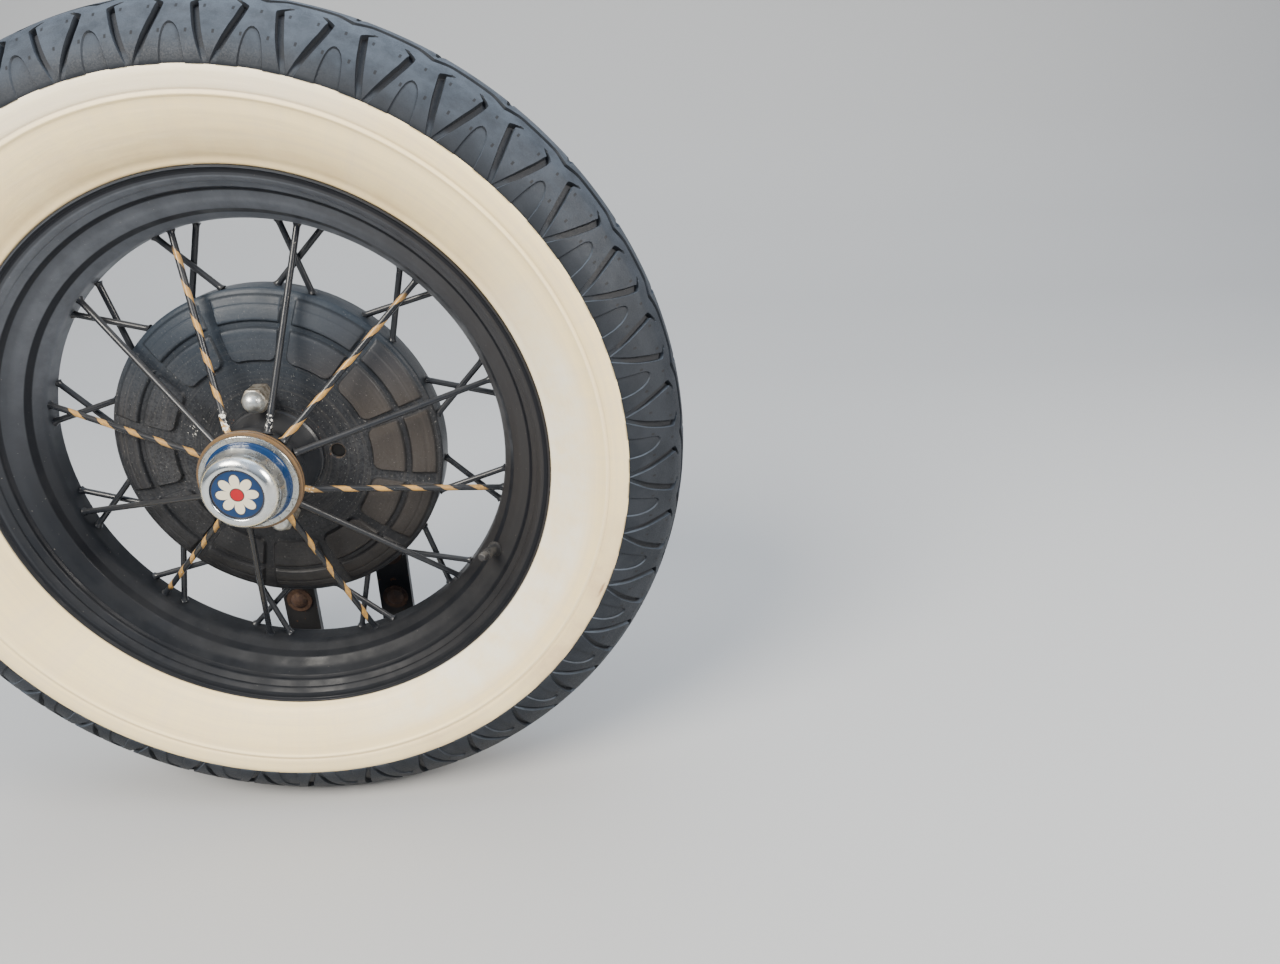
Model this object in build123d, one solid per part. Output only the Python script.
"""Spare wire wheel of the late 1920s, with its whitewall tyre, bolted to the two-arm
carrier that holds it up from behind. Millimetres, +Z up, +Y towards the mount.

The wheel is drawn about its own axis, in wheel coordinates: y is the depth behind the
outer flange edge and the radius is taken from the axle line. It is then moved to its
place above the four bolts of the carrier, whose middle is the origin.
"""
from build123d import *
from math import atan2, cos, radians, sin, sqrt
import os

# Tyre
TYRE_RADIUS = 377.0           # crown of the tread
TYRE_SECTION = 130.0          # widest width of the section
TYRE_SHOULDER_RADIUS = 352.0  # where the tread rolls over into the wall
TYRE_SHOULDER_WIDTH = 104.0
TYRE_WIDEST_RADIUS = 318.0
TYRE_TREAD_THICKNESS = 13.0
TYRE_WALL_THICKNESS = 8.0
TYRE_BEAD_WIDTH = 13.0
TYRE_BEAD_HEIGHT = 16.0

# Tread, repeated round the tyre and mirrored on the side towards the carrier
TREAD_PITCHES = 37
TREAD_PHASE = 41.0            # angle of the first pitch's tip
GROOVE_DEPTH = 5.0
GROOVE_FOOT_DEPTH = 1.0       # where a shoulder groove runs out into the wall
GROOVE_WIDTH = 6.0
GROOVE_TOP_SHIFT = 1.9        # degrees from the tip to a groove's upper end
GROOVE_FOOT_SHIFT = 4.3
GROOVE_TOP_RISE = 17.0        # upper end above the shoulder
GROOVE_TOP_INSET = 20.0       # and from the shoulder towards the middle
GROOVE_FOOT_FALL = 22.0       # lower end below the shoulder
GROOVE_FOOT_OUTSET = 12.0
GROOVE_CUTTER = 40.0          # height of a groove's cutter, across the shoulder
CROWN_GROOVE_OFFSET = 19.0    # of the round groove from the middle of the tread
CROWN_GROOVE_WIDTH = 3.2

# Rim, its radii taken down from the bead seat
SEAT_RADIUS = 241.3           # a 19 inch bead seat
FLANGE_HEIGHT = 12.7          # above the seat
FLANGE_LIP = 6.0              # flat of the flange edge
FLANGE_WIDTH = 86.0           # over the two flange edges
RIM_SHEET = 3.0
SEAT_CORNER = 4.0             # slant between the seat and the flange
SEAT_WIDTH = 15.0             # from the flange edge to the foot of the seat
SEAT_FOOT_DROP = 5.0          # shown face at the foot of the seat, below the seat
LEDGE_DROP = 18.3             # top of the slope between the seat and the well
LEDGE_DEPTH = 18.5
BEND_DROP = 26.3              # knee half way down the slope
BEND_DEPTH = 32.0
WELL_DROP = 32.8              # the surface that shows from the hub
WELL_START = 44.0
WELL_WIDTH = 21.0
BACK_LEDGE_DROP = 17.5        # knee of the steeper slope behind the well
BACK_LEDGE_RUN = 4.0
VALVE_ANGLE = -28.0
VALVE_HOLE_RADIUS = 5.6

# Spokes
SPOKE_SETS = 12               # one front spoke and a crossed rear pair each
SPOKE_PHASE = 16.5            # angle of the first set at the rim
SPOKE_RADIUS = 2.6
SPOKE_BUTT_RADIUS = 3.1
SPOKE_BUTT_LENGTH = 26.0
WELD_GAP = 0.05               # between a spoke's end and the wall that it is welded to
FRONT_RIM_DEPTH = 49.0
FRONT_HUB_DEPTH = -17.0
FRONT_HUB_SHIFT = 10.0        # the hub ends bunch in threes, this many degrees over
REAR_RIM_DEPTH = 58.0
REAR_HUB_DEPTH = 55.0
REAR_RIM_SHIFT = 5.0
REAR_HUB_SHIFT = 6.3
REAR_CROSS_GAP = 1.0          # air between the two spokes of a pair where they cross

# Hub shell, the pressed bowl
SHELL_RADIUS = 150.5
SHELL_SHEET = 3.0
SHELL_FACE_DEPTH = 44.0
SHELL_BACK_DEPTH = 72.0
LUG_FACE_DEPTH = 30.0
LUG_FACE_RADIUS = 86.0
SHELL_GROOVE_FALL = 4.5       # of the plain face, from the lug face to the groove
SHELL_EDGE_STEP = 2.0         # shallow gutter between the panels and the lip
SHELL_LIP_WIDTH = 2.5
PANEL_RISE = 3.6
PANEL_ANGLE = 25.6
PANEL_INNER_RADIUS = 89.0
PANEL_OUTER_RADIUS = 146.5
PANEL_EDGE_RISE = 0.8
PANEL_EDGE_SLOPE = 9.0
PANEL_GROOVE_RADIUS = 121.0
PANEL_GROOVE_WIDTH = 5.0
PANEL_GROOVE_RISE = 0.7       # what is left of the panel in its groove
PANEL_GROOVE_SLOPE = 5.0      # length of its slope on the hub side
PANEL_GROOVE_STEP = 1.5       # and on the rim side
PANEL_CORNER = 7.0
PANEL_ROOT = 0.5              # of the panel, inside the plain sheet
LUG_COUNT = 4
LUG_PHASE = 1.5
LUG_CIRCLE_RADIUS = 57.15
LUG_HOLE_RADIUS = 6.7

# Hub barrel, its ring and cap
BARREL_RADIUS = 40.0
BARREL_WALL = 4.0
BARREL_FRONT_DEPTH = -29.0
BARREL_RING_LENGTH = 21.0
BARREL_NECK_RADIUS = 36.5
BARREL_NECK_RUN = 9.0         # from the ring's end to the neck
BARREL_STEP_RUN = 4.0         # of the step inside, behind the ring
BARREL_NUT_CLEARANCE = 0.8
BARREL_FOOT_THICKNESS = 2.4
RING_RADIUS = 44.6
RING_THICKNESS = 5.6
RING_GROOVE = 0.7
RING_GROOVE_WIDTH = 1.0
RING_BEVEL = 0.6
CAP_FLANGE_RADIUS = 42.0
CAP_FLANGE_THICKNESS = 3.0
CAP_FLANGE_ROUND = 2.4
CAP_SKIRT_RADIUS = 35.8
CAP_SHOULDER_RADIUS = 33.6
CAP_SHOULDER_LENGTH = 10.0
CAP_FACE_RADIUS = 26.0
CAP_LENGTH = 30.0
CAP_WALL = 1.6
CAP_FACE_BEVEL = 1.0
DISC_RADIUS = 22.2
DISC_RECESS = 1.6
DISC_THICKNESS = 1.4
DISC_CLEARANCE = 0.2
DISC_CROWN = 0.6

# Valve stem
VALVE_STEM_RADIUS = 5.0
VALVE_TIP_RADIUS = 3.9
VALVE_LENGTH = 30.0
VALVE_TIP_LENGTH = 8.0
VALVE_ROOT = 7.0              # behind the slope, towards the inner tube
VALVE_TILT = 38.0             # from the slope's own upright towards the viewer

# Wheel nuts and studs
STUD_RADIUS = 6.35
STUD_CLEARANCE = 0.15
STUD_HEAD_RADIUS = 9.5
STUD_HEAD_THICKNESS = 5.0
STUD_THREAD_LENGTH = 18.0     # inside the nut
NUT_ACROSS_FLATS = 20.6
NUT_HEX_LENGTH = 21.0
NUT_DOME_RADIUS = 9.6
NUT_BORE_END = 1.5
NUT_BEVEL = 1.4
NUT_FACE_INSET = 0.6
NUT_CORNER_CUT = 0.2          # off the six corners

# Carrier
CARRIER_PLATE_RADIUS = 80.0
CARRIER_PLATE_THICKNESS = 8.0
ARM_SPACING = 109.0
ARM_WIDTH = 36.0
ARM_THICKNESS = 8.0
ARM_TOP = 45.0                # above the axle line
ARM_BEND_TOP = -50.0
ARM_BEND_FOOT = -106.0
ARM_BEND_RADIUS = 18.0
ARM_FOOT = -268.0
MOUNT_DEPTH = 160.0           # from the outer flange edge to the mounting face
BOLT_ROW_LOW = -223.0         # heights of the bolt rows against the axle line
BOLT_ROW_HIGH = -167.0
BOLT_RADIUS = 6.35
BOLT_NECK_RADIUS = 7.0        # plain neck in the arm's hole
BOLT_TIP_BEVEL = 1.0
BOLT_HEAD_RADIUS = 9.5
BOLT_HEAD_HEIGHT = 5.5
WASHER_RADIUS = 14.0
WASHER_THICKNESS = 2.0
BOLT_REACH = 22.0             # thread that stands out past the mounting face
RIVET_RADIUS = 4.0
RIVET_HEAD_RADIUS = 7.2
RIVET_HEAD_HEIGHT = 4.0
RIVET_SPACING = 56.0
TIE_HEIGHT = 24.0
TIE_THICKNESS = 6.0
TIE_ABOVE_BOLTS = 31.0

FIT = 0.3                     # air between pieces that seat on curved faces
REACH = 400.0                 # longer than any piece, for drills and cutters

FLANGE_RADIUS = SEAT_RADIUS + FLANGE_HEIGHT
LEDGE_RADIUS = SEAT_RADIUS - LEDGE_DROP
BEND_RADIUS = SEAT_RADIUS - BEND_DROP
WELL_RADIUS = SEAT_RADIUS - WELL_DROP
BACK_LEDGE_RADIUS = SEAT_RADIUS - BACK_LEDGE_DROP
SEAT_FOOT_RADIUS = SEAT_RADIUS - SEAT_FOOT_DROP
TIE_LEVEL = BOLT_ROW_HIGH + TIE_ABOVE_BOLTS

MID_DEPTH = FLANGE_WIDTH / 2
AXLE_HEIGHT = -(BOLT_ROW_LOW + BOLT_ROW_HIGH) / 2
TO_PLACE = Location((0, -MOUNT_DEPTH, AXLE_HEIGHT))


def at(radius, angle, depth):
    """Point in wheel coordinates; the angle runs from +X towards +Z."""
    turn = radians(angle)
    return Vector(radius * cos(turn), depth, radius * sin(turn))


def turned(shape, angle):
    """Copy of a shape turned about the axle, from +X towards +Z."""
    return Rot(0, -angle, 0) * shape


def spun(outline):
    """Solid of revolution about the axle of an outline of (radius, depth) points."""
    return revolve(make_face(Polyline(*outline, close=True)), Axis.Y)


def rod(start, end, radius):
    """Round bar from one point to another."""
    run = end - start
    return extrude(Plane(start, z_dir=run) * Circle(radius), run.length)


def bore(x, z, radius):
    """Drill along the axle's direction at a place seen from the hub cap's side."""
    return rod(Vector(x, -REACH, z), Vector(x, REACH, z), radius)


def tube(inner_radius, outer_radius):
    """Long tube about the axle."""
    return bore(0, 0, outer_radius) - bore(0, 0, inner_radius)


def round_head(x, z, seat, radius, height):
    """Domed head on a flat seat; a height below zero points it away from the mount."""
    outline = (
        Line((0, seat), (radius, seat))
        + TangentArc((0, seat + height), (radius, seat), tangent=(1, 0))
        + Line((0, seat + height), (0, seat))
    )
    return Pos(x, 0, z) * revolve(make_face(outline), Axis.Y)


def wall_arc(start, end):
    """Arc that leaves its start along the radius, as a wall does where it is widest."""
    return TangentArc(start, end, tangent=(1 if end[0] > start[0] else -1, 0))


def crown_arc(start, end):
    """Arc that leaves its start straight across the tread."""
    return TangentArc(start, end, tangent=(0, 1 if end[1] > start[1] else -1))


# Tyre: a hollow casing, widest below the shoulder, with two beads and a grooved tread
def casing():
    """The tyre without its grooves, about the middle of its width."""
    half = TYRE_SECTION / 2
    bead_foot = SEAT_RADIUS + FIT
    bead_face = MID_DEPTH - RIM_SHEET - FIT
    bead_back = bead_face - TYRE_BEAD_WIDTH
    shoulder_half = TYRE_SHOULDER_WIDTH / 2
    shoulder_inset = TYRE_TREAD_THICKNESS / sqrt(2)
    wall_line = TYRE_WIDEST_RADIUS, -(half - TYRE_WALL_THICKNESS)
    shoulder_line = TYRE_SHOULDER_RADIUS - shoulder_inset, -(shoulder_half - shoulder_inset)
    points = [
        (TYRE_RADIUS - TYRE_TREAD_THICKNESS, 0),
        shoulder_line,
        wall_line,
        (bead_foot + TYRE_BEAD_HEIGHT, -bead_back),
        (bead_foot, -bead_back),
        (bead_foot, -(bead_face - SEAT_CORNER)),
        (bead_foot + SEAT_CORNER, -bead_face),
        (FLANGE_RADIUS + FIT, -bead_face),
        (TYRE_WIDEST_RADIUS, -half),
        (TYRE_SHOULDER_RADIUS, -shoulder_half),
        (TYRE_RADIUS, 0),
    ]
    outline = (
        crown_arc(points[0], points[1])
        + wall_arc(points[2], points[1])
        + wall_arc(points[2], points[3])
        + Polyline(*points[3:8])
        + wall_arc(points[8], points[7])
        + wall_arc(points[8], points[9])
        + crown_arc(points[10], points[9])
        + Line(points[10], points[0])
    )
    half_section = make_face(outline)
    return revolve(half_section + mirror(half_section, Plane.XZ), Axis.Y)


def tread_core():
    """One half of the tread and what lies under it, down from the floors of its grooves."""
    inset = GROOVE_DEPTH / sqrt(2)
    crown = TYRE_RADIUS - GROOVE_DEPTH, 0
    shoulder = TYRE_SHOULDER_RADIUS - inset, -(TYRE_SHOULDER_WIDTH / 2 - inset)
    widest = TYRE_WIDEST_RADIUS, -(TYRE_SECTION / 2 - GROOVE_FOOT_DEPTH)
    inner_radius = TYRE_WIDEST_RADIUS - GROOVE_CUTTER
    inside = Polyline(widest, (inner_radius, widest[1]), (inner_radius, 0), crown)
    return revolve(make_face(crown_arc(crown, shoulder) + wall_arc(widest, shoulder) + inside), Axis.Y)


def shoulder_groove(side, core):
    """Cutter of a groove that runs from beside a pitch's tip down over the shoulder."""
    shoulder_depth = -TYRE_SHOULDER_WIDTH / 2
    top_radius = TYRE_SHOULDER_RADIUS + GROOVE_TOP_RISE
    foot_radius = TYRE_SHOULDER_RADIUS - GROOVE_FOOT_FALL
    top = at(top_radius, side * GROOVE_TOP_SHIFT, shoulder_depth + GROOVE_TOP_INSET)
    foot = at(foot_radius, side * GROOVE_FOOT_SHIFT, shoulder_depth - GROOVE_FOOT_OUTSET)
    run = foot - top
    across = run.cross(Vector(1, -1, 0))
    slot = Box(run.length, GROOVE_CUTTER, GROOVE_WIDTH)
    return Plane((top + foot) / 2, x_dir=run, z_dir=across) * slot - core


def crown_groove(core):
    """Cutter of the round groove beside the middle of the tread."""
    near = -(CROWN_GROOVE_OFFSET - CROWN_GROOVE_WIDTH / 2)
    far = near - CROWN_GROOVE_WIDTH
    inner = TYRE_RADIUS - TYRE_TREAD_THICKNESS
    return spun([(inner, near), (inner, far), (TYRE_RADIUS, far), (TYRE_RADIUS, near)]) - core


def tyre():
    core = tread_core()
    pair = [shoulder_groove(side, core) for side in (-1, 1)]
    tips = [TREAD_PHASE + 360 / TREAD_PITCHES * k for k in range(TREAD_PITCHES)]
    grooves = [turned(groove, tip) for tip in tips for groove in pair] + [crown_groove(core)]
    grooves += [mirror(groove, Plane.XZ) for groove in grooves]
    return Pos(0, MID_DEPTH, 0) * (casing() - grooves)


# Rim: one rolled sheet with a drop centre, pierced for the spokes and the valve
def rim_side():
    """Points of the shown face of the outer side, from the flange edge to the well."""
    return [
        (FLANGE_RADIUS, 0),
        (FLANGE_RADIUS - FLANGE_LIP, 0),
        (SEAT_FOOT_RADIUS, SEAT_WIDTH),
        (LEDGE_RADIUS, LEDGE_DEPTH),
        (BEND_RADIUS, BEND_DEPTH),
        (WELL_RADIUS, WELL_START),
    ]


def rim():
    well_end = WELL_START + WELL_WIDTH
    front = rim_side()
    back = [
        (WELL_RADIUS, well_end),
        (BACK_LEDGE_RADIUS, well_end + BACK_LEDGE_RUN),
        (SEAT_FOOT_RADIUS, FLANGE_WIDTH - SEAT_WIDTH),
        (FLANGE_RADIUS - FLANGE_LIP, FLANGE_WIDTH),
        (FLANGE_RADIUS, FLANGE_WIDTH),
    ]
    tyre_side_back = [
        (FLANGE_RADIUS, FLANGE_WIDTH - RIM_SHEET),
        (SEAT_RADIUS + SEAT_CORNER, FLANGE_WIDTH - RIM_SHEET),
        (SEAT_RADIUS, FLANGE_WIDTH - RIM_SHEET - SEAT_CORNER),
        (SEAT_RADIUS, FLANGE_WIDTH - SEAT_WIDTH - RIM_SHEET),
        (BACK_LEDGE_RADIUS + RIM_SHEET, well_end + BACK_LEDGE_RUN - RIM_SHEET),
        (WELL_RADIUS + RIM_SHEET, well_end - RIM_SHEET / 2),
    ]
    tyre_side_front = [
        (WELL_RADIUS + RIM_SHEET, WELL_START + RIM_SHEET / 2),
        (BEND_RADIUS + RIM_SHEET, BEND_DEPTH + RIM_SHEET / 2),
        (LEDGE_RADIUS + RIM_SHEET, LEDGE_DEPTH + RIM_SHEET),
        (SEAT_RADIUS, SEAT_WIDTH + RIM_SHEET),
        (SEAT_RADIUS, RIM_SHEET + SEAT_CORNER),
        (SEAT_RADIUS + SEAT_CORNER, RIM_SHEET),
        (FLANGE_RADIUS, RIM_SHEET),
    ]
    shape = spun(front[-1:] + back + tyre_side_back + tyre_side_front + front[:-1])
    seat, way = valve_seat()
    drill_half = way * 3 * RIM_SHEET
    return shape - rod(seat - drill_half, seat + drill_half, VALVE_HOLE_RADIUS)


# Spokes: a front one to the barrel and a crossed pair to the bowl at each rim place
def set_angles():
    return [SPOKE_PHASE + 360 / SPOKE_SETS * k for k in range(SPOKE_SETS)]


def front_spoke_ends():
    """Hub and rim ends; each third spoke runs straight and the two beside it lean to it."""
    ends = []
    for k, angle in enumerate(set_angles()):
        lean = (1, 0, -1)[k % 3] * FRONT_HUB_SHIFT
        hub = at(BARREL_RADIUS, angle + lean, FRONT_HUB_DEPTH)
        ends.append((hub, at(WELL_RADIUS, angle, FRONT_RIM_DEPTH)))
    return ends


def rear_spoke_ends():
    """Bowl and rim ends; the two of a pair cross with air between them."""
    ends = []
    split = SPOKE_RADIUS + REAR_CROSS_GAP / 2
    for angle in set_angles():
        for side in (-1, 1):
            shift = side * split
            hub = at(SHELL_RADIUS, angle + side * REAR_HUB_SHIFT, REAR_HUB_DEPTH + shift)
            rim_point = at(WELL_RADIUS, angle - side * REAR_RIM_SHIFT, REAR_RIM_DEPTH + shift)
            ends.append((hub, rim_point))
    return ends


def welded_spokes(all_ends, hub_radius, butt_length):
    """Bars trimmed to the round walls they are welded to, thicker at first out of the hub."""
    span = tube(hub_radius + WELD_GAP, WELL_RADIUS - WELD_GAP)
    past = 4 * SPOKE_RADIUS
    spokes = []
    for hub, rim_point in all_ends:
        way = (rim_point - hub).normalized()
        bar = rod(hub - way * past, rim_point + way * past, SPOKE_RADIUS)
        if butt_length:
            bar += rod(hub - way * past, hub + way * butt_length, SPOKE_BUTT_RADIUS)
        spokes.append((bar & span).solid())
    return Compound(spokes)


def front_spokes():
    return welded_spokes(front_spoke_ends(), BARREL_RADIUS, SPOKE_BUTT_LENGTH)


def rear_spokes():
    return welded_spokes(rear_spoke_ends(), SHELL_RADIUS, 0)


# Hub shell: a pressed bowl with raised panels between plain ribs
def shell_face():
    """Points of the plain face from the middle to the edge."""
    return [
        (0, LUG_FACE_DEPTH),
        (LUG_FACE_RADIUS, LUG_FACE_DEPTH),
        (PANEL_GROOVE_RADIUS, LUG_FACE_DEPTH + SHELL_GROOVE_FALL),
        (PANEL_OUTER_RADIUS, SHELL_FACE_DEPTH - SHELL_EDGE_STEP),
        (SHELL_RADIUS - SHELL_LIP_WIDTH, SHELL_FACE_DEPTH),
        (SHELL_RADIUS, SHELL_FACE_DEPTH),
    ]


def face_depth(radius):
    """Depth of the plain face at a radius."""
    face = shell_face()
    for (r0, d0), (r1, d1) in zip(face, face[1:]):
        if r0 <= radius <= r1:
            return d0 + (d1 - d0) * (radius - r0) / (r1 - r0)
    return SHELL_FACE_DEPTH


def shell_panel():
    """One raised panel, a step proud of the face and cut across by a round groove."""
    inner = PANEL_GROOVE_RADIUS - PANEL_GROOVE_WIDTH / 2
    outer = PANEL_GROOVE_RADIUS + PANEL_GROOVE_WIDTH / 2
    rises = [
        (PANEL_INNER_RADIUS, -PANEL_ROOT),
        (PANEL_INNER_RADIUS, PANEL_RISE),
        (inner - PANEL_GROOVE_SLOPE, PANEL_RISE),
        (inner, PANEL_GROOVE_RISE),
        (outer, PANEL_GROOVE_RISE),
        (outer + PANEL_GROOVE_STEP, PANEL_RISE),
        (PANEL_OUTER_RADIUS - PANEL_EDGE_SLOPE, PANEL_RISE),
        (PANEL_OUTER_RADIUS, PANEL_EDGE_RISE),
        (PANEL_OUTER_RADIUS, -PANEL_ROOT),
        (PANEL_GROOVE_RADIUS, -PANEL_ROOT),
    ]
    outline = [(radius, face_depth(radius) - rise) for radius, rise in rises]
    sector = revolve(make_face(Polyline(*outline, close=True)), Axis.Y, PANEL_ANGLE)
    middle = PANEL_ANGLE / 2
    window = Plane.XZ * RectangleRounded(SHELL_RADIUS - PANEL_INNER_RADIUS, SHELL_RADIUS, PANEL_CORNER)
    cutter = Pos((PANEL_INNER_RADIUS + SHELL_RADIUS) / 2, 0, 0) * extrude(window, REACH, both=True)
    return turned(sector & turned(cutter, -middle), middle)


def hub_shell():
    wall = SHELL_RADIUS - SHELL_SHEET
    back = [
        (SHELL_RADIUS, SHELL_BACK_DEPTH),
        (wall, SHELL_BACK_DEPTH),
        (wall, SHELL_FACE_DEPTH + SHELL_SHEET),
        (PANEL_OUTER_RADIUS, face_depth(PANEL_OUTER_RADIUS) + SHELL_SHEET),
        (PANEL_GROOVE_RADIUS, face_depth(PANEL_GROOVE_RADIUS) + SHELL_SHEET),
        (LUG_FACE_RADIUS, LUG_FACE_DEPTH + SHELL_SHEET),
        (0, LUG_FACE_DEPTH + SHELL_SHEET),
    ]
    shape = spun(shell_face() + back)
    panel = shell_panel()
    for angle in set_angles():
        shape += turned(panel, angle + 180 / SPOKE_SETS)
    for lug in range(LUG_COUNT):
        place = at(LUG_CIRCLE_RADIUS, LUG_PHASE + 360 / LUG_COUNT * lug, 0)
        shape -= bore(place.X, place.Z, LUG_HOLE_RADIUS)
    return shape


# Hub barrel: the ring that takes the front spokes, flared down to the bowl
def hub_barrel():
    ring_end = BARREL_FRONT_DEPTH + BARREL_RING_LENGTH
    foot_top = LUG_FACE_DEPTH - BARREL_FOOT_THICKNESS
    foot_radius = LUG_CIRCLE_RADIUS - NUT_ACROSS_FLATS / sqrt(3) - BARREL_NUT_CLEARANCE
    ring_bore = BARREL_RADIUS - BARREL_WALL
    neck_bore = BARREL_NECK_RADIUS - BARREL_WALL
    flare = Spline(
        (BARREL_RADIUS, ring_end),
        (BARREL_NECK_RADIUS, ring_end + BARREL_NECK_RUN),
        (foot_radius, foot_top),
        tangents=[(-1, 1), (1, 0.5)],
    )
    inside = Polyline(
        (foot_radius, foot_top),
        (foot_radius, LUG_FACE_DEPTH),
        (neck_bore, LUG_FACE_DEPTH),
        (neck_bore, ring_end + BARREL_STEP_RUN),
        (ring_bore, ring_end),
        (ring_bore, BARREL_FRONT_DEPTH),
        (BARREL_RADIUS, BARREL_FRONT_DEPTH),
        (BARREL_RADIUS, ring_end),
    )
    return revolve(make_face(flare + inside), Axis.Y)


# Painted ring between the barrel and the cap
def hub_ring():
    back = BARREL_FRONT_DEPTH
    front = back - RING_THICKNESS
    middle = (front + back) / 2
    inside = BARREL_RADIUS - BARREL_WALL
    return spun([
        (inside, back),
        (RING_RADIUS, back),
        (RING_RADIUS, middle + RING_GROOVE_WIDTH / 2),
        (RING_RADIUS - RING_GROOVE, middle),
        (RING_RADIUS, middle - RING_GROOVE_WIDTH / 2),
        (RING_RADIUS, front + RING_BEVEL),
        (RING_RADIUS - RING_BEVEL, front),
        (inside, front),
    ])


# Hub cap: a turned cup with a flat flange, a rolled shoulder and a sunk face
def cap_depths():
    """Depths of the flange's back, the flange's front, the face and the floor of its recess."""
    back = BARREL_FRONT_DEPTH - RING_THICKNESS
    face = back - CAP_LENGTH
    return back, back - CAP_FLANGE_THICKNESS, face, face + CAP_FACE_BEVEL + DISC_RECESS


def hub_cap():
    back, flange, face, floor = cap_depths()
    shoulder = face + CAP_SHOULDER_LENGTH
    recess = DISC_RADIUS + DISC_CLEARANCE
    skirt_inside = CAP_SKIRT_RADIUS - CAP_WALL
    edge = flange + CAP_FLANGE_ROUND
    roll = Spline(
        (CAP_SHOULDER_RADIUS, shoulder),
        (CAP_FACE_RADIUS, face),
        tangents=[(CAP_SHOULDER_RADIUS - CAP_SKIRT_RADIUS, shoulder - flange), (-1, 0)],
    )
    front = Polyline(
        (CAP_FACE_RADIUS, face),
        (recess + CAP_FACE_BEVEL, face),
        (recess, face + CAP_FACE_BEVEL),
        (recess, floor),
        (0, floor),
        (0, floor + CAP_WALL),
        (CAP_SHOULDER_RADIUS - 3 * CAP_WALL, floor + CAP_WALL),
        (skirt_inside, flange),
        (skirt_inside, back),
        (CAP_FLANGE_RADIUS, back),
        (CAP_FLANGE_RADIUS, edge),
    )
    rounded = TangentArc(
        (CAP_FLANGE_RADIUS, edge), (CAP_FLANGE_RADIUS - CAP_FLANGE_ROUND, flange), tangent=(0, -1)
    )
    skirt = Polyline(
        (CAP_FLANGE_RADIUS - CAP_FLANGE_ROUND, flange),
        (CAP_SKIRT_RADIUS, flange),
        (CAP_SHOULDER_RADIUS, shoulder),
    )
    return revolve(make_face(roll + front + rounded + skirt), Axis.Y)


def cap_disc():
    floor = cap_depths()[3]
    edge = floor - DISC_THICKNESS
    crown = TangentArc((0, edge - DISC_CROWN), (DISC_RADIUS, edge), tangent=(1, 0))
    back = Polyline((DISC_RADIUS, edge), (DISC_RADIUS, floor), (0, floor), (0, edge - DISC_CROWN))
    return revolve(make_face(crown + back), Axis.Y)


# Valve stem, through the slope of the rim
def valve_seat():
    """Place on the slope and the way the stem points."""
    radius = (LEDGE_RADIUS + BEND_RADIUS) / 2
    depth = (LEDGE_DEPTH + BEND_DEPTH) / 2
    slope = atan2(LEDGE_RADIUS - BEND_RADIUS, BEND_DEPTH - LEDGE_DEPTH)
    tilt = slope + radians(VALVE_TILT)
    turn = radians(VALVE_ANGLE)
    way = Vector(-cos(tilt) * cos(turn), -sin(tilt), -cos(tilt) * sin(turn))
    return at(radius, VALVE_ANGLE, depth), way


def valve_stem():
    seat, way = valve_seat()
    rubber_end = seat + way * (VALVE_LENGTH - VALVE_TIP_LENGTH)
    body = loft([
        Plane(seat - way * VALVE_ROOT, z_dir=way) * Circle(VALVE_HOLE_RADIUS - FIT),
        Plane(rubber_end, z_dir=way) * Circle(VALVE_STEM_RADIUS),
    ])
    return body + rod(rubber_end, seat + way * VALVE_LENGTH, VALVE_TIP_RADIUS)


# Wheel nuts: domed, closed, on the top and the bottom stud
def held_lugs():
    """Angles of the lugs that carry a stud and a nut."""
    return [LUG_PHASE + 90, LUG_PHASE + 270]


def lug_nut(angle):
    seat = LUG_FACE_DEPTH
    hexagon_end = seat - NUT_HEX_LENGTH
    half_flats = NUT_ACROSS_FLATS / 2
    corner = NUT_ACROSS_FLATS / sqrt(3) - NUT_CORNER_CUT
    flat = Plane.XZ * RegularPolygon(half_flats, 6, major_radius=False)
    body = Pos(0, seat, 0) * extrude(flat, NUT_HEX_LENGTH)
    chamfered = body & spun([
        (0, seat),
        (corner, seat),
        (corner, hexagon_end + NUT_BEVEL),
        (half_flats - NUT_FACE_INSET, hexagon_end),
        (0, hexagon_end),
    ])
    dome = Pos(0, hexagon_end, 0) * Sphere(NUT_DOME_RADIUS)
    front_half = Pos(0, hexagon_end - NUT_DOME_RADIUS, 0) * Box(REACH, 2 * NUT_DOME_RADIUS, REACH)
    blind_bore = rod(
        Vector(0, seat, 0),
        Vector(0, seat - STUD_THREAD_LENGTH - NUT_BORE_END, 0),
        STUD_RADIUS + STUD_CLEARANCE,
    )
    return Pos(*at(LUG_CIRCLE_RADIUS, angle, 0)) * (chamfered + (dome & front_half) - blind_bore)


# Studs: pressed through the plate from behind
def wheel_studs():
    plate_back = LUG_FACE_DEPTH + SHELL_SHEET + CARRIER_PLATE_THICKNESS
    studs = []
    for angle in held_lugs():
        head = at(LUG_CIRCLE_RADIUS, angle, plate_back)
        tip = at(LUG_CIRCLE_RADIUS, angle, LUG_FACE_DEPTH - STUD_THREAD_LENGTH)
        head_back = at(LUG_CIRCLE_RADIUS, angle, plate_back + STUD_HEAD_THICKNESS)
        studs.append(rod(head, tip, STUD_RADIUS) + rod(head, head_back, STUD_HEAD_RADIUS))
    return Compound(studs)


# Carrier plate: the disc that the wheel is bolted up to
def arm_places():
    """The arms' middles, left and right of the axle."""
    return [-ARM_SPACING / 2, ARM_SPACING / 2]


def rivet_places():
    return [(x, z) for x in arm_places() for z in (-RIVET_SPACING / 2, RIVET_SPACING / 2)]


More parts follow.
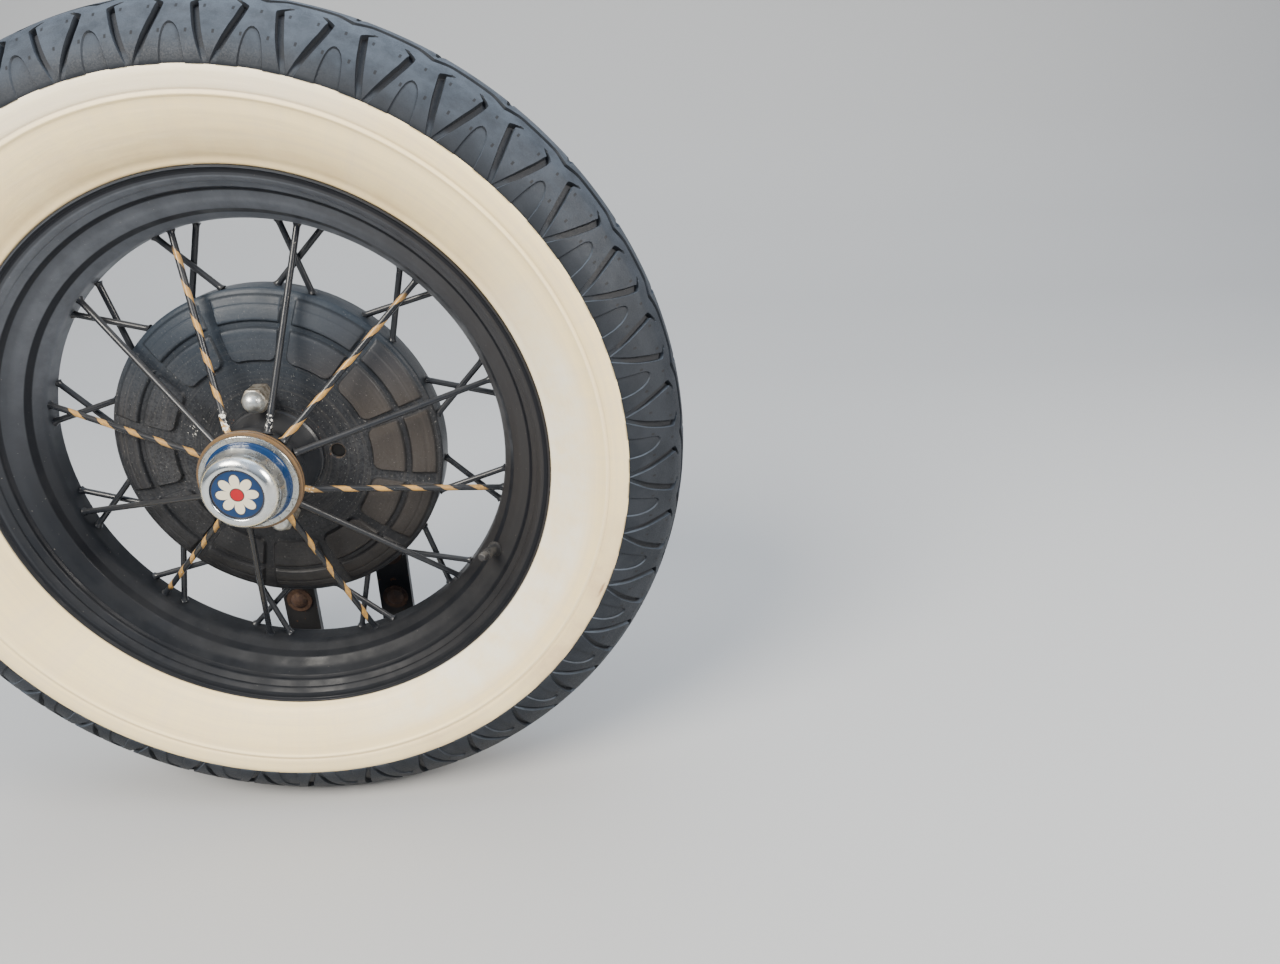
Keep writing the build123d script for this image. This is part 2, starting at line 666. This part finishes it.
def carrier_plate():
    front = LUG_FACE_DEPTH + SHELL_SHEET
    back = front + CARRIER_PLATE_THICKNESS
    shape = rod(Vector(0, front, 0), Vector(0, back, 0), CARRIER_PLATE_RADIUS)
    for angle in held_lugs():
        place = at(LUG_CIRCLE_RADIUS, angle, 0)
        shape -= bore(place.X, place.Z, STUD_RADIUS + STUD_CLEARANCE)
    for x, z in rivet_places():
        shape -= bore(x, z, RIVET_RADIUS + STUD_CLEARANCE)
    return shape


# Arms: flat bars that crank from the plate down to the mount's bolts
def carrier_arm(side):
    near = LUG_FACE_DEPTH + SHELL_SHEET + CARRIER_PLATE_THICKNESS
    far = MOUNT_DEPTH - ARM_THICKNESS
    run = FilletPolyline(
        (near, ARM_TOP),
        (near, ARM_BEND_TOP),
        (far, ARM_BEND_FOOT),
        (far, ARM_FOOT),
        radius=ARM_BEND_RADIUS,
    )
    strip = make_face(offset(run, ARM_THICKNESS, side=Side.LEFT, closed=True))
    x = side * ARM_SPACING / 2
    arm = Pos(x, 0, 0) * (Plane.YZ * extrude(strip, ARM_WIDTH / 2, both=True))
    for level in (BOLT_ROW_LOW, BOLT_ROW_HIGH):
        arm -= bore(x, level, BOLT_NECK_RADIUS + STUD_CLEARANCE)
    for rivet_x, z in rivet_places():
        arm -= bore(rivet_x, z, RIVET_RADIUS + STUD_CLEARANCE)
    return arm - bore(x, TIE_LEVEL, RIVET_RADIUS + STUD_CLEARANCE)


# Rivets through the plate and the arms
def carrier_rivets():
    front = LUG_FACE_DEPTH + SHELL_SHEET
    back = front + CARRIER_PLATE_THICKNESS + ARM_THICKNESS
    rivets = []
    for x, z in rivet_places():
        shank = rod(Vector(x, front, z), Vector(x, back, z), RIVET_RADIUS)
        rivets.append(shank + round_head(x, z, back, RIVET_HEAD_RADIUS, RIVET_HEAD_HEIGHT))
    tie_front = MOUNT_DEPTH - ARM_THICKNESS - TIE_THICKNESS
    for x in arm_places():
        shank = rod(Vector(x, tie_front, TIE_LEVEL), Vector(x, MOUNT_DEPTH, TIE_LEVEL), RIVET_RADIUS)
        head = round_head(x, TIE_LEVEL, tie_front, RIVET_HEAD_RADIUS, -RIVET_HEAD_HEIGHT)
        rivets.append(shank + head)
    return Compound(rivets)


# Tie: the flat bar across the two arms
def carrier_tie():
    back = MOUNT_DEPTH - ARM_THICKNESS
    length = ARM_SPACING + ARM_WIDTH
    shape = Pos(0, back - TIE_THICKNESS / 2, TIE_LEVEL) * Box(length, TIE_THICKNESS, TIE_HEIGHT)
    for x in arm_places():
        shape -= bore(x, TIE_LEVEL, RIVET_RADIUS + STUD_CLEARANCE)
    return shape


# Bolts: round heads on washers behind the wheel, threads standing out past the mounting face
def arm_bolts():
    face = MOUNT_DEPTH - ARM_THICKNESS
    washer_top = face - WASHER_THICKNESS
    tip = MOUNT_DEPTH + BOLT_REACH
    bolts = []
    for x in arm_places():
        for level in (BOLT_ROW_LOW, BOLT_ROW_HIGH):
            body = spun([
                (0, washer_top),
                (WASHER_RADIUS, washer_top),
                (WASHER_RADIUS, face),
                (BOLT_NECK_RADIUS, face),
                (BOLT_NECK_RADIUS, MOUNT_DEPTH),
                (BOLT_RADIUS, MOUNT_DEPTH),
                (BOLT_RADIUS, tip - BOLT_TIP_BEVEL),
                (BOLT_RADIUS - BOLT_TIP_BEVEL, tip),
                (0, tip),
            ])
            head = round_head(x, level, washer_top, BOLT_HEAD_RADIUS, -BOLT_HEAD_HEIGHT)
            bolts.append(Pos(x, 0, level) * body + head)
    return Compound(bolts)


PIECES = {
    "tyre": tyre,
    "rim": rim,
    "front_spokes": front_spokes,
    "rear_spokes": rear_spokes,
    "hub_shell": hub_shell,
    "hub_barrel": hub_barrel,
    "hub_ring": hub_ring,
    "hub_cap": hub_cap,
    "cap_disc": cap_disc,
    "valve_stem": valve_stem,
    "lug_nut_top": lambda: lug_nut(held_lugs()[0]),
    "lug_nut_bottom": lambda: lug_nut(held_lugs()[1]),
    "wheel_studs": wheel_studs,
    "carrier_plate": carrier_plate,
    "carrier_arm_left": lambda: carrier_arm(-1),
    "carrier_arm_right": lambda: carrier_arm(1),
    "carrier_rivets": carrier_rivets,
    "carrier_tie": carrier_tie,
    "arm_bolts": arm_bolts,
}

os.makedirs("parts", exist_ok=True)
for name, make in PIECES.items():
    export_step(TO_PLACE * make(), f"parts/{name}.step")
